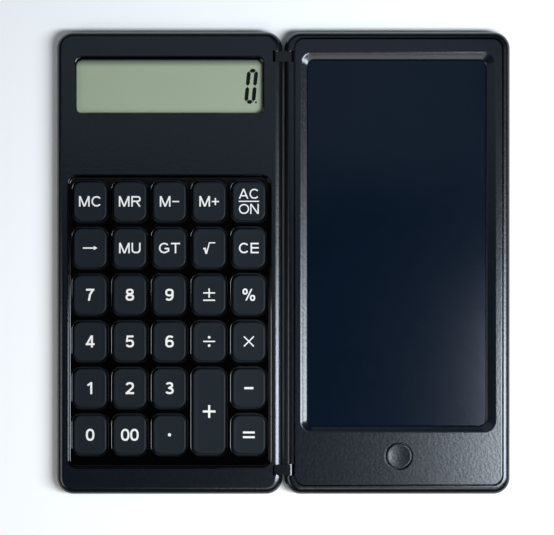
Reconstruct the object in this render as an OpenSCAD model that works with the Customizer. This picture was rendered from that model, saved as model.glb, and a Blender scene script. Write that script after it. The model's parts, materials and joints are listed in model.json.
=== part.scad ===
// Folding pocket calculator with a pressure-sensitive writing tablet.
// The calculator half lies on the left, the tablet half on the right, opened flat.
// Origin: on the table, under the middle of the hinge. +X towards the tablet, +Y towards
// the display end, +Z up. Every size is in millimetres.

/* [Body] */
// Width of each half
body_w = 82; // [80:0.5:86]
// Length of each half
body_h = 168; // [166:0.5:180]
// Thickness of each half without its feet
body_t = 6; // [6:0.1:7]
// Radius of the outline's corners
corner_r = 6; // [4:0.5:8]
// Radius along the edges of the upper side
edge_r = 2.7; // [2.5:0.1:2.9]
// Gap between the two halves when they lie open
hinge_gap = 0.7; // [0.6:0.1:1]
// Height of the rubber feet below the casings
foot_h = 0.4; // [0.2:0.1:1]
// Radius of a rubber foot
foot_r = 4; // [3:0.5:4.5]

/* [Display] */
// Width of the display opening
display_w = 69; // [60:0.5:69]
// Height of the display opening
display_h = 21.2; // [16:0.2:21.2]
// Height of the opening's middle above the middle of the casing
display_y = 64.6; // [63:0.1:65]

/* [Keypad] */
// Distance between key columns
key_pitch_x = 14.4; // [14:0.1:14.4]
// Distance between key rows
key_pitch_y = 16.95; // [16:0.05:17]
// Width of a key where it passes through the grid
key_w = 12.6; // [11:0.1:12.6]
// Height of a one-row key where it passes through the grid
key_h = 14.9; // [13:0.1:15]
// How far a key goes down when it is pressed
key_travel = 0.7; // [0.4:0.1:0.7]
// Position of the top row's middle
top_row_y = 22.4; // [21:0.1:22.4]

/* [Hinge] */
// Distance from the middle of the hinge to each hinge axis
axis_x = 2.5; // [2.4:0.05:2.6]
// Gap between the two faces when the calculator is folded shut
closed_gap = 0.2; // [0.1:0.05:0.4]
// Distance of the hinge links from the middle of the casing
link_y = 75.1; // [74:0.1:75.5]
// Width of a hinge link along its axes
link_w = 3.7; // [3:0.1:4]
// Radius of a hinge pin
pin_r = 0.6; // [0.5:0.05:0.7]

/* [Tablet] */
// Width of the visible writing surface
screen_w = 64.5; // [60:0.5:66]
// Height of the visible writing surface
screen_h = 132.5; // [120:0.5:134]
// Height of the writing surface's middle above the middle of the casing
screen_y = 7.25; // [6:0.25:8]
// Radius of the erase button
button_r = 4.5; // [3:0.1:5]
// How far the erase button goes down
button_travel = 0.6; // [0.3:0.1:0.6]
// How far the erase lock slides
lock_travel = 3.4; // [2:0.1:3.6]

/* [Hidden] */
$fn = 48;

// Levels above the table
z_back = foot_h;
z_top = foot_h + body_t;
z_part = z_back + 2.2;
z_axis = z_top - axis_x + closed_gap / 2;

// Shells
wall = 1.6;
top_plate = 1.4;
back_plate = 1;
back_edge_r = 1.6;
z_floor = z_back + back_plate;
z_ceiling = z_top - top_plate;
cavity_w = body_w - 2 * wall;
cavity_h = body_h - 2 * wall;
half_x = (body_w + hinge_gap) / 2;
fit = 0.1;
rib = 0.6;
foot_pocket = 0.2;

// Hinge
link_r = 1.2;
bore_r = pin_r + 0.06;
pin_reach = 2.2;
pin_len = link_w + 2 * pin_reach;
notch_w = link_w + 0.4;
notch_x = axis_x + link_r + 0.15 - hinge_gap / 2;
boss_h = notch_w + 2 * pin_reach + 0.1;

// Screws, M2 with a countersunk head
screw_r = 1;
head_r = 1.9;
head_h = 0.9;
z_head = z_back + 0.1;
z_tip = z_head + 3.1;
post_r = 2.1;
calc_screws = [
    [-33.6, 79.3], [33.6, 79.3], [-36.2, 42.2], [8.5, 36.2], [-33.6, -79.3], [33.6, -79.3]
];
tablet_screws = [[-33.5, 78.9], [33.5, 78.9], [-33.5, -78.4], [33.5, -78.4]];
foot_places = [[-33, 70], [33, 70], [-33, -70], [33, -70]];

// Keypad
columns = 5;
keys_x0 = -2 * key_pitch_x;
key_r = 3.2;
key_edge_r = 0.5;
hole_gap = 0.25;
flange_out = 0.7;
z_board = z_floor + 0.2;
board_t = 0.8;
sheet_t = 0.4;
z_sheet = z_board + board_t;
z_dome = z_sheet + sheet_t;
z_key = z_dome + key_travel + fit;
z_key_top = z_top - 0.3;
flange_t = 0.45;
z_grid = z_key + flange_t + 0.05;
z_grid_top = z_top - 1;
keypad_w = 74.2;
keypad_h = 106.9;
keypad_y = -21.25;
keypad_r = 3.5;
rim_w = 1.05;
board_x = 37.2;

// Every key: its name, its column, its row and how many rows it takes
KEYS = [
    ["key_mc", 0, 0, 1], ["key_mr", 1, 0, 1], ["key_m_minus", 2, 0, 1],
    ["key_m_plus", 3, 0, 1], ["key_ac_on", 4, 0, 1],
    ["key_backspace", 0, 1, 1], ["key_mu", 1, 1, 1], ["key_gt", 2, 1, 1],
    ["key_root", 3, 1, 1], ["key_ce", 4, 1, 1],
    ["key_7", 0, 2, 1], ["key_8", 1, 2, 1], ["key_9", 2, 2, 1],
    ["key_sign", 3, 2, 1], ["key_percent", 4, 2, 1],
    ["key_4", 0, 3, 1], ["key_5", 1, 3, 1], ["key_6", 2, 3, 1],
    ["key_divide", 3, 3, 1], ["key_multiply", 4, 3, 1],
    ["key_1", 0, 4, 1], ["key_2", 1, 4, 1], ["key_3", 2, 4, 1],
    ["key_plus", 3, 4, 2], ["key_minus", 4, 4, 1],
    ["key_0", 0, 5, 1], ["key_00", 1, 5, 1], ["key_point", 2, 5, 1],
    ["key_equals", 4, 5, 1]
];

// Display, from the window down to the reflector
display_r = 2.6;
window_t = 0.7;
z_window = z_ceiling - window_t - 0.02;
glass_t = 0.55;
z_front_glass = z_window - 0.05 - glass_t;
z_rear_glass = z_front_glass - glass_t;
reflector_t = 0.25;
z_reflector = z_rear_glass - reflector_t;
glass_w = 72;
glass_y0 = 50.9;
glass_y1 = 76.9;
ledge = 2.5;
view_w = 67.1;
view_h = 19.5;
view_x = -0.25;
view_y = display_y - 0.4;
view_r = 2.2;

// Calculator power: one 11.6 mm button cell behind a screwed door
calc_cell_r = 5.8;
calc_cell_t = 3.05;
calc_cell_at = [24, 42.2];
calc_door = [15.5, 34, 36.9, 50.4];
calc_door_screw = [33.6, 42.2];
door_t = 0.75;
door_gap = 0.12;
z_cell = z_back + door_t + 0.02;

// Tablet
groove = 0.4;
panel_x0 = -37.3;
panel_x1 = 38.2;
panel_y0 = -80.6;
panel_y1 = 81.45;
panel_r = 3.6;
z_panel = z_top - 0.1;
z_film = z_top - 1.7;
film_lip = 0.3;
screen_r = 2.2;
bevel_r = 4.2;
film_t = 0.6;
film_w = 68.6;
film_h = 136.6;
screen_x = -0.15;
bevel_x = 0.33;
bevel_w = 71.05;
bevel_h = 138.6;
bevel_y = screen_y + 0.35;
button_at = [0.6, -70.05];
button_hole_r = button_r + 0.5;
z_button = z_film - film_t;
tablet_board = [-20, -79, 9, -65];
z_tablet_board = z_floor + 0.5;
tablet_cell_r = 10;
tablet_cell_t = 1.6;
tablet_cell_at = [15, -52];
tablet_door = [3.4, -63.2, 31.4, -40.8];
tablet_door_screw = [28.3, -52];
lock_at = [-9, -72];
lock_knob = [4.4, 2.6];
lock_slot = [lock_knob[0] + lock_travel + 0.4, 3];

// ---- Shared shapes ----

// Places its children in the calculator half's own coordinates
module calc_half() {
    translate([-half_x, 0, 0]) children();
}

// Places its children in the tablet half's own coordinates
module tablet_half() {
    translate([half_x, 0, 0]) children();
}

// Rectangle with true round corners
module round_rect(w, h, r) {
    square([w - 2 * r, h], center = true);
    square([w, h - 2 * r], center = true);
    for (x = [-1, 1], y = [-1, 1])
        translate([x * (w / 2 - r), y * (h / 2 - r)]) circle(r);
}

// Upright block with round corners between two levels
module block(w, h, r, z0, z1) {
    translate([0, 0, z0]) linear_extrude(z1 - z0) round_rect(w, h, r);
}

// Square-cornered plate given by two opposite corners
module plate(c, z0, z1) {
    translate([c[0], c[1], z0]) cube([c[2] - c[0], c[3] - c[1], z1 - z0]);
}

// Upright cylinder between two levels
module post(at, r, z0, z1) {
    translate([at[0], at[1], z0]) cylinder(r = r, h = z1 - z0);
}

// Sweeps a profile round a rectangle with round corners. The profile's X is the
// distance outwards from the path and its Y is the height.
module sweep(w, h, r) {
    for (side = [0, 1, 2, 3]) {
        across = side % 2 == 0 ? w : h;
        along = side % 2 == 0 ? h : w;
        rotate(90 * side) {
            rotate([90, 0, 0])
                linear_extrude(along - 2 * r, center = true)
                    translate([across / 2, 0]) children();
            translate([across / 2 - r, along / 2 - r, 0])
                rotate_extrude(angle = 90) translate([r, 0]) children();
        }
    }
}

// Edge section of a slab, rounded at the top, the bottom or both
module edge_profile(depth, z0, z1, top_r, bottom_r) {
    difference() {
        translate([-depth, z0]) square([depth, z1 - z0]);
        if (top_r > 0) quarter_nick(top_r, z1, 1);
        if (bottom_r > 0) quarter_nick(bottom_r, z0, -1);
    }
}

// What a quarter-round of radius r takes off the corner at height z
module quarter_nick(r, z, up) {
    difference() {
        translate([-r, up > 0 ? z - r : z]) square(r);
        translate([-r, z - up * r]) circle(r);
    }
}

// Slab with round corners and rounded edges
module slab(w, h, r, z0, z1, top_r, bottom_r) {
    depth = max(top_r, bottom_r);
    block(w - 2 * depth, h - 2 * depth, r - depth, z0, z1);
    sweep(w, h, r) edge_profile(depth, z0, z1, top_r, bottom_r);
}

// Countersunk screw with a cross recess, seen from below
module screw(at) {
    slot = [0.45, 2.2];
    translate([at[0], at[1], 0]) difference() {
        union() {
            post([0, 0], screw_r, z_head + head_h, z_tip);
            translate([0, 0, z_head]) cylinder(r1 = head_r, r2 = screw_r, h = head_h);
        }
        for (turn = [0, 90])
            rotate(turn) translate([0, 0, z_head - 0.1])
                linear_extrude(0.6) square(slot, center = true);
    }
}

// Hole that a countersunk screw passes through, up to level z1
module screw_way(at, z1) {
    post(at, screw_r + 0.1, z_back - 1, z1);
    translate([at[0], at[1], z_head - 1])
        cylinder(r1 = head_r + 1.06, r2 = screw_r + 0.06, h = head_h + 1);
}

// Pilot hole that a screw bites into
module pilot(at) {
    post(at, screw_r + 0.02, z_back, z_tip + 0.2);
}

// ---- Hinge ----

// Room for a link at each end of the hinge side; side is 1 where that is at +X
module link_notches(side, depth, z0) {
    for (y = [-link_y, link_y])
        translate([side > 0 ? body_w / 2 - depth : -body_w / 2 - 1, y - notch_w / 2, z0])
            cube([depth + 1, notch_w, body_t + 1]);
}

// Holes that the pins turn in, long enough to push the pins in from inside
module pin_bores(side, inner_reach) {
    for (end = [-1, 1])
        translate([
            side * (half_x - axis_x),
            end * (link_y - notch_w / 2 - inner_reach),
            z_axis
        ])
            rotate([-90 * end, 0, 0])
                cylinder(r = bore_r, h = notch_w + inner_reach + pin_reach + fit);
}

module hinge_link(y) {
    color("dimgray") translate([0, y + link_w / 2, z_axis]) rotate([90, 0, 0])
        linear_extrude(link_w) difference() {
            union() {
                square([2 * axis_x, 2 * link_r], center = true);
                for (x = [-axis_x, axis_x]) translate([x, 0]) circle(link_r);
            }
            for (x = [-axis_x, axis_x]) translate([x, 0]) circle(pin_r + 0.01);
        }
}

module hinge_pins() {
    color("silver") for (x = [-axis_x, axis_x], y = [-link_y, link_y])
        translate([x, y + pin_len / 2, z_axis]) rotate([90, 0, 0])
            cylinder(r = pin_r, h = pin_len);
}

// ---- Calculator casing ----

// Blocks inside the hinge side that carry the pin bores
module hinge_blocks() {
    for (y = [-link_y, link_y])
        translate([body_w / 2 - notch_x, y - boss_h / 2, z_part - 1])
            cube([notch_x, boss_h, body_t]);
}

module calc_top_cover() {
    color([0.12, 0.13, 0.15]) calc_half() difference() {
        union() {
            slab(body_w, body_h, corner_r, z_part, z_top, edge_r, 0);
            for (s = calc_screws) post(s, post_r, z_floor + 0.05, z_part + 0.1);
        }
        difference() {
            block(cavity_w, cavity_h, corner_r - wall, z_part - 0.01, z_ceiling);
            hinge_blocks();
            for (s = calc_screws) post(s, post_r, z_back, z_top);
        }
        translate([0, display_y, 0])
            block(display_w, display_h, display_r, z_ceiling - 1, z_top + 1);
        translate([0, keypad_y, 0])
            block(keypad_w, keypad_h, keypad_r, z_ceiling - 1, z_top + 1);
        link_notches(1, notch_x, z_part - 1);
        pin_bores(1, pin_reach + 1);
        for (s = calc_screws) pilot(s);
    }
}

// Tongue that the top cover fits over, left out beside the hinge
module lip() {
    lip_w = cavity_w - 2 * fit;
    lip_h = cavity_h - 2 * fit;
    lip_t = 0.7;
    lip_r = corner_r - wall - fit;
    difference() {
        block(lip_w, lip_h, lip_r, z_floor, z_part + 1);
        block(lip_w - 2 * lip_t, lip_h - 2 * lip_t, lip_r - lip_t, z_floor - 1, z_part + 2);
        for (y = [-link_y, link_y])
            translate([body_w / 2 - notch_x - 0.2, y - boss_h / 2 - 0.2, z_floor])
                cube([notch_x, boss_h + 0.4, body_t]);
    }
}

// Raised floor round a battery compartment
module door_frame(c, screw) {
    border = 1.2;
    plate([c[0] - border, c[1] - border, c[2] + border, c[3] + border],
        z_floor - fit, z_floor + 0.7);
    post(screw, post_r, z_floor, z_tip + 0.4);
}

// Cut-outs of a battery compartment: the door's seat, the cell's hole and the screw
module door_cuts(c, cell_at, cell_r, screw) {
    plate(c, z_back - 1, z_back + door_t + 0.05);
    post(cell_at, cell_r + 0.25, z_back, z_floor + 2);
    pilot(screw);
    screw_way(screw, z_floor);
}

module calc_back_cover() {
    supports = [
        [-34, 28], [34, 28], [-34, -22], [34, -22], [-34, -71], [34, -71], [0, -71],
        [0, 28], [-28, 47], [0, 47]
    ];
    color([0.1, 0.11, 0.12]) calc_half() difference() {
        union() {
            difference() {
                slab(body_w, body_h, corner_r, z_back, z_part, 0, back_edge_r);
                block(cavity_w, cavity_h, corner_r - wall, z_floor, z_part + 1);
            }
            lip();
            for (p = supports) post(p, 1, z_floor - fit, z_board);
            for (x = [-30, -10, 10, 30])
                plate([x - rib, 55, x + rib, 75], z_floor - fit, z_reflector - 0.02);
            door_frame(calc_door, calc_door_screw);
        }
        door_cuts(calc_door, calc_cell_at, calc_cell_r, calc_door_screw);
        for (s = calc_screws) screw_way(s, z_floor + 1);
        for (p = foot_places) post(p, foot_r + fit, z_back - 1, z_back + foot_pocket);
    }
}

// Battery door with a countersunk hole and three grip grooves on its outer face
module battery_door(c, screw) {
    groove_w = 0.6;
    y_mid = (c[1] + c[3]) / 2;
    difference() {
        plate([c[0] + door_gap, c[1] + door_gap, c[2] - door_gap, c[3] - door_gap],
            z_back + 0.05, z_back + door_t);
        for (y = [y_mid - 2, y_mid, y_mid + 2])
            plate([c[0] + 2, y - groove_w / 2, c[0] + 9, y + groove_w / 2],
                z_back, z_back + 0.3);
        screw_way(screw, z_floor + 1);
    }
}

module calc_battery_door() {
    color([0.1, 0.11, 0.12]) calc_half() battery_door(calc_door, calc_door_screw);
}

module calc_screws() {
    color("silver") calc_half() {
        for (s = calc_screws) screw(s);
        screw(calc_door_screw);
    }
}

module feet() {
    color([0.2, 0.2, 0.2]) for (p = foot_places) post(p, foot_r, 0, z_back + foot_pocket - 0.02);
}

// ---- Keypad ----

function key_x(column) = keys_x0 + column * key_pitch_x;
function key_y(row, rows) = top_row_y - (row + (rows - 1) / 2) * key_pitch_y;
function key_extent(rows) = key_h + (rows - 1) * key_pitch_y;
function dome_rows(k) = [for (i = [0:k[3] - 1]) k[2] + i];

module key(k) {
    extent = key_extent(k[3]);
    shell_t = 1.1;
    color([0.17, 0.18, 0.2]) calc_half()
        translate([key_x(k[1]), key_y(k[2], k[3]), 0]) difference() {
            union() {
                slab(key_w, extent, key_r, z_key, z_key_top, key_edge_r, 0);
                block(key_w + 2 * flange_out, extent + 2 * flange_out,
                    key_r + flange_out, z_key, z_key + flange_t);
            }
            difference() {
                block(key_w - 2 * shell_t, extent - 2 * shell_t, key_r - shell_t,
                    z_key - 1, z_key_top - 1);
                for (row = dome_rows(k))
                    post([0, key_y(row, 1) - key_y(k[2], k[3])], 2, z_key, z_key_top);
            }
        }
}

// Outline of the grid's plate with a hole for every key
module grid_outline(w, h, r) {
    difference() {
        translate([0, keypad_y]) round_rect(w, h, r);
        for (k = KEYS)
            translate([key_x(k[1]), key_y(k[2], k[3])])
                round_rect(key_w + 2 * hole_gap, key_extent(k[3]) + 2 * hole_gap,
                    key_r + hole_gap);
    }
}

// Glossy grid that the keys stand in, with a sloping rim inside the cover's opening
module keypad_grid() {
    z_step = z_ceiling - 0.05;
    grid_w = keypad_w - 2 * fit;
    grid_h = keypad_h - 2 * fit;
    rim_inset = 0.05;
    rim_h = 0.8;
    color([0.02, 0.02, 0.02]) calc_half() {
        translate([0, 0, z_grid]) linear_extrude(z_step - z_grid)
            grid_outline(keypad_w + 0.6, keypad_h + 2.4, keypad_r);
        translate([0, 0, z_step]) linear_extrude(z_grid_top - z_step)
            grid_outline(grid_w, grid_h, keypad_r - fit);
        for (x = [-board_x + 0.6, board_x - 0.6])
            plate([x - 0.55, -72, x + 0.55, 29], z_dome, z_grid);
        translate([0, keypad_y, z_grid_top])
            sweep(grid_w - 2 * rim_inset, grid_h - 2 * rim_inset, keypad_r - fit - rim_inset)
                polygon([[0, 0], [0, rim_h], [-0.25, rim_h], [-rim_w, 0]]);
    }
}

// One rubber dome, hollow, with a contact pill inside
module dome(at) {
    rise = z_key - z_dome;
    translate([at[0], at[1], 0]) difference() {
        union() {
            translate([0, 0, z_dome - 0.1]) cylinder(r1 = 3.6, r2 = 2.3, h = rise - 0.1);
            post([0, 0], 1.5, z_dome, z_key);
        }
        translate([0, 0, z_sheet - 0.1]) cylinder(r1 = 3, r2 = 1.8, h = rise + 0.05);
    }
    post(at, 1.1, z_dome, z_dome + rise - 0.1);
}

module key_membrane() {
    x = board_x;
    color([0.75, 0.76, 0.74]) calc_half() {
        difference() {
            plate([-x, -74, x, 31], z_sheet, z_dome);
            for (k = KEYS, row = dome_rows(k))
                post([key_x(k[1]), key_y(row, 1)], 3, z_sheet - 1, z_dome + 1);
        }
        for (k = KEYS, row = dome_rows(k)) dome([key_x(k[1]), key_y(row, 1)]);
    }
}

// Circuit board: a field under the keys and a tongue towards the display
module main_board() {
    x = board_x;
    color([0.05, 0.35, 0.15]) calc_half() difference() {
        union() {
            plate([-x, -74.2, x, 31.2], z_board, z_board + board_t);
            plate([-32, 31, 4, 50], z_board, z_board + board_t);
        }
        for (p = [[-34, 0], [34, 0], [-34, -50], [34, -50], [-29, 34]])
            post(p, 0.8, z_board - 1, z_sheet + 1);
    }
}

// What is soldered to the main board: the sealed chip, capacitors and resistors
module main_board_parts() {
    blob_r = 5;
    color([0.05, 0.05, 0.05]) calc_half() {
        translate([-20, 40, z_sheet]) {
            cylinder(r1 = blob_r, r2 = blob_r - 0.8, h = 0.7);
            translate([0, 0, 0.7]) cylinder(r1 = blob_r - 0.8, r2 = blob_r - 3, h = 0.5);
        }
        for (y = [36, 38.4, 40.8, 43.2])
            plate([-9, y, -7.4, y + 0.8], z_sheet, z_sheet + 0.7);
        for (y = [36, 40]) plate([-4, y, -2, y + 1.2], z_sheet, z_sheet + 1.1);
    }
}

// ---- Display ----

module display_window() {
    color([0.8, 0.85, 0.85, 0.4]) calc_half() translate([0, display_y, 0])
        block(display_w + 2.4, display_h + 2.6, 1, z_window, z_window + window_t);
}

// Ring that frames the display inside the cover's opening
module display_frame() {
    outer_w = display_w - 0.2;
    outer_h = display_h - 0.2;
    z_outer = z_top - 0.25;
    slope = 0.3;
    color([0.02, 0.02, 0.02]) calc_half() difference() {
        translate([0, display_y, 0])
            block(outer_w, outer_h, display_r - 0.1, z_ceiling, z_outer);
        translate([view_x, view_y, 0]) {
            block(view_w, view_h, view_r, z_ceiling - 1, z_top);
            sweep(view_w, view_h, view_r)
                polygon([
                    [-slope, z_outer - 0.45], [0, z_outer - 0.45], [slope, z_outer + 0.05],
                    [slope, z_top], [-slope, z_top]
                ]);
        }
    }
}

// The two glass plates; the front one overhangs the rear one for the contacts
module lcd_glass() {
    x = glass_w / 2;
    color([0.7, 0.78, 0.7, 0.5]) calc_half() {
        plate([-x, glass_y0, x, glass_y1], z_front_glass, z_front_glass + glass_t);
        plate([-x, glass_y0 + ledge, x, glass_y1], z_rear_glass, z_front_glass);
    }
}

module lcd_reflector() {
    x = glass_w / 2 - 0.5;
    color([0.62, 0.69, 0.6]) calc_half()
        plate([-x, glass_y0 + ledge + 0.3, x, glass_y1 - 0.3], z_reflector, z_rear_glass);
}

// Heat-sealed ribbon from the glass ledge down to the board's tongue
module lcd_ribbon() {
    t = 0.12;
    y_board = 46;
    y_low = 49.2;
    y_high = glass_y0 + 0.2;
    y_glass = glass_y0 + ledge - 0.2;
    color("orange") calc_half() translate([-31, 0, 0])
        rotate([90, 0, 90]) linear_extrude(30)
            polygon([
                [y_board, z_sheet], [y_low, z_sheet], [y_high, z_front_glass - t],
                [y_glass, z_front_glass - t], [y_glass, z_front_glass],
                [y_high - 0.1, z_front_glass], [y_low - 0.1, z_sheet + t],
                [y_board, z_sheet + t]
            ]);
}

// ---- Power ----

// Button cell: a can with a smaller cap on its upper side
module cell(at, r, t, z) {
    cap = 0.25;
    color("silver") {
        post(at, r, z, z + t - cap);
        post(at, r - 0.8, z + t - cap - 0.01, z + t);
    }
}

module calc_cell() {
    calc_half() cell(calc_cell_at, calc_cell_r, calc_cell_t, z_cell);
}

// Spring strips: one over the cell's cap, one against its side
module calc_cell_contacts() {
    t = 0.15;
    z_over = z_cell + calc_cell_t;
    x_side = calc_cell_at[0] - calc_cell_r - t - 0.02;
    color("gold") calc_half() {
        translate([0, calc_cell_at[1] + 4.8, 0]) rotate([90, 0, 0]) linear_extrude(2)
            polygon([
                [1, z_sheet], [3.5, z_sheet], [12, z_over], [25, z_over],
                [25, z_over + t], [12, z_over + t], [3.4, z_sheet + t], [1, z_sheet + t]
            ]);
        translate([0, calc_cell_at[1] + 1, 0]) rotate([90, 0, 0]) linear_extrude(2)
            polygon([
                [1, z_sheet], [x_side - 1, z_sheet], [x_side, z_sheet + 0.8],
                [x_side, z_sheet + 1.6], [x_side - t, z_sheet + 1.6],
                [x_side - t, z_sheet + 0.8], [x_side - 1 - t, z_sheet + t],
                [1, z_sheet + t]
            ]);
    }
}

// ---- Tablet ----

module tablet_back_cover() {
    well_w = panel_x1 - panel_x0 + 2 * groove;
    well_h = panel_y1 - panel_y0 + 2 * groove;
    rib_top = z_button - 0.05;
    pocket = pin_len + 1;
    color([0.1, 0.11, 0.12]) tablet_half() difference() {
        union() {
            difference() {
                slab(body_w, body_h, corner_r, z_back, z_top, edge_r, back_edge_r);
                translate([(panel_x0 + panel_x1) / 2, (panel_y0 + panel_y1) / 2, 0])
                    block(well_w, well_h, panel_r + groove, z_floor, z_top + 1);
            }
            for (x = [-28, -14, 0, 14, 28])
                plate([x - rib, -36, x + rib, 74], z_floor - fit, rib_top);
            for (y = [-36, 0, 37, 74])
                plate([-34, y - rib, 34, y + rib], z_floor - fit, rib_top);
            for (p = [[-18, -66], [7, -66], [-18, -77], [7, -77]])
                post(p, 1, z_floor - fit, z_tablet_board);
            door_frame(tablet_door, tablet_door_screw);
        }
        door_cuts(tablet_door, tablet_cell_at, tablet_cell_r, tablet_door_screw);
        for (s = tablet_screws) screw_way(s, z_floor + 1);
        for (p = foot_places) post(p, foot_r + fit, z_back - 1, z_back + foot_pocket);
        link_notches(-1, notch_x, z_part);
        pin_bores(-1, pin_reach + 1);
        for (end = [-1, 1])
            translate([
                panel_x0 - groove - 1.9,
                end * (link_y - notch_w / 2 - pin_reach - pocket / 2) - pocket / 2,
                z_axis - 1
            ])
                cube([3, pocket, 2]);
        translate([lock_at[0], lock_at[1], z_back - 1])
            linear_extrude(3) square(lock_slot, center = true);
    }
}

// Tapering cut that makes the sloping border round the writing surface
module screen_bevel() {
    hull() {
        translate([screen_x, screen_y, z_film + film_lip])
            linear_extrude(0.01) round_rect(screen_w, screen_h, screen_r, $fn = 32);
        translate([bevel_x, bevel_y, z_panel])
            linear_extrude(0.5) round_rect(bevel_w, bevel_h, bevel_r, $fn = 32);
    }
}

module tablet_bezel() {
    panel_w = panel_x1 - panel_x0;
    panel_h = panel_y1 - panel_y0;
    fence = 1.2;
    color([0.15, 0.16, 0.18]) tablet_half() difference() {
        union() {
            translate([(panel_x0 + panel_x1) / 2, (panel_y0 + panel_y1) / 2, 0])
                block(panel_w, panel_h, panel_r, z_film, z_panel);
            translate([screen_x, screen_y, 0]) difference() {
                block(film_w + 2 * fence, film_h + 2 * fence, 1.4, z_button + 0.1, z_film + 0.1);
                block(film_w + 0.3, film_h + 0.3, 0.5, z_button - 1, z_film);
            }
            for (s = tablet_screws) post(s, post_r, z_floor + 0.05, z_film + 0.1);
        }
        translate([screen_x, screen_y, 0])
            block(screen_w, screen_h, screen_r, z_film - 1, z_film + 1);
        screen_bevel();
        post(button_at, button_hole_r, z_back, z_top + 1);
        for (s = tablet_screws) pilot(s);
    }
}

module writing_film() {
    color([0.05, 0.07, 0.12]) tablet_half() translate([screen_x, screen_y, 0])
        block(film_w, film_h, 0.5, z_film - film_t, z_film);
}

// Button with a retaining flange, a rounded rim and a dished top
module erase_button() {
    rim = 0.35;
    dish = 0.2;
    dish_r = button_r - 0.8;
    z_flange = z_film - 0.1;
    color([0.17, 0.18, 0.2]) tablet_half() translate([button_at[0], button_at[1], 0])
        rotate_extrude() union() {
            difference() {
                translate([0, z_button]) square([button_r, z_panel - z_button]);
                translate([button_r, 0]) quarter_nick(rim, z_panel, 1);
                polygon([
                    [-1, z_panel - dish], [dish_r / 2, z_panel - dish], [dish_r, z_panel],
                    [dish_r, z_panel + 1], [-1, z_panel + 1]
                ]);
            }
            translate([0, z_button]) square([button_r + 1.1, z_flange - z_button]);
        }
}

module erase_dome() {
    z = z_tablet_board + board_t;
    color([0.75, 0.76, 0.74]) tablet_half() translate([button_at[0], button_at[1], 0])
        rotate_extrude() polygon([
            [3.2, z], [4, z], [4, z + 0.3], [3.6, z + 0.3], [2.4, z_button - 0.2],
            [2, z_button], [0, z_button], [0, z + 0.8], [1.8, z + 0.8]
        ]);
}

module erase_board() {
    b = tablet_board;
    color([0.05, 0.35, 0.15]) tablet_half() {
        difference() {
            plate(b, z_tablet_board, z_tablet_board + board_t);
            post([b[0] + 2, b[1] + 7], 0.8, z_floor, z_top);
        }
        plate([-14, -76, -10, -73], z_tablet_board + board_t, z_tablet_board + board_t + 1);
    }
}

module tablet_cell() {
    tablet_half() cell(tablet_cell_at, tablet_cell_r, tablet_cell_t, z_cell);
}

// Spring strips: one over the tablet cell's cap, one bent against its side
module tablet_cell_contacts() {
    t = 0.15;
    z0 = z_tablet_board + board_t;
    z_over = z_cell + tablet_cell_t;
    z_side = z_floor + 0.75;
    x_side = tablet_cell_at[0] - tablet_cell_r - 0.02;
    color("gold") tablet_half() {
        translate([7, 0, 0]) rotate([90, 0, 90]) linear_extrude(2)
            polygon([
                [-67, z0], [-64.5, z0], [-63, z_over + 0.3], [-58, z_over],
                [-54, z_over], [-54, z_over + t], [-58, z_over + t],
                [-63.2, z_over + 0.3 + t], [-64.6, z0 + t], [-67, z0 + t]
            ]);
        plate([0.4, -65.8, 2.15, -64.6], z0, z0 + t);
        translate([0, 0, z_side]) linear_extrude(z0 + t - z_side)
            polygon([
                [2, -64.8], [2.15, -64.8], [2.15, -57], [x_side, -53], [x_side, -51],
                [x_side - t, -51], [x_side - t, -52.9], [2, -56.8]
            ]);
    }
}

module tablet_battery_door() {
    color([0.1, 0.11, 0.12]) tablet_half() battery_door(tablet_door, tablet_door_screw);
}

module tablet_screws() {
    color("silver") tablet_half() {
        for (s = tablet_screws) screw(s);
        screw(tablet_door_screw);
    }
}

// Slider that locks the erase button's circuit: a ribbed knob on a wide foot
module lock_switch() {
    x = lock_at[0] - lock_travel / 2;
    color([0.3, 0.31, 0.33]) tablet_half() translate([x, lock_at[1], 0]) {
        difference() {
            translate([0, 0, z_back + 0.1]) linear_extrude(1)
                square(lock_knob, center = true);
            for (i = [-1, 0, 1])
                translate([i * 1.2, 0, z_back]) linear_extrude(0.4)
                    square([0.5, 4], center = true);
        }
        translate([0, 0, z_floor + 0.03]) linear_extrude(0.4)
            square([12.6, 4.8], center = true);
    }
}

// ---- The parts ----

calc_top_cover();
calc_back_cover();
keypad_grid();
display_window();
display_frame();
lcd_glass();
lcd_reflector();
lcd_ribbon();
main_board();
main_board_parts();
key_membrane();
calc_cell();
calc_cell_contacts();
calc_battery_door();
calc_screws();
calc_half() feet();  // calc_feet
hinge_link(link_y);  // hinge_link_top
hinge_link(-link_y);  // hinge_link_bottom
hinge_pins();
tablet_bezel();
tablet_back_cover();
writing_film();
erase_button();
erase_dome();
erase_board();
tablet_cell();
tablet_cell_contacts();
tablet_battery_door();
tablet_screws();
tablet_half() feet();  // tablet_feet
lock_switch();
for (k = KEYS) key(k);
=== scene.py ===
"""Looks of the folding calculator with a writing tablet.

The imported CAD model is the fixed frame. This script gives every CAD node a procedural material. It
replaces the keys, the key membrane, the keypad grid, the display frame, the tablet's panel, the
erase button and its dome with finer meshes. It prints the key legends and the display's digit, and
sets the floor, the light and the camera.
"""

import json
import math

import bmesh
import bpy
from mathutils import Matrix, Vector, geometry

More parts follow.
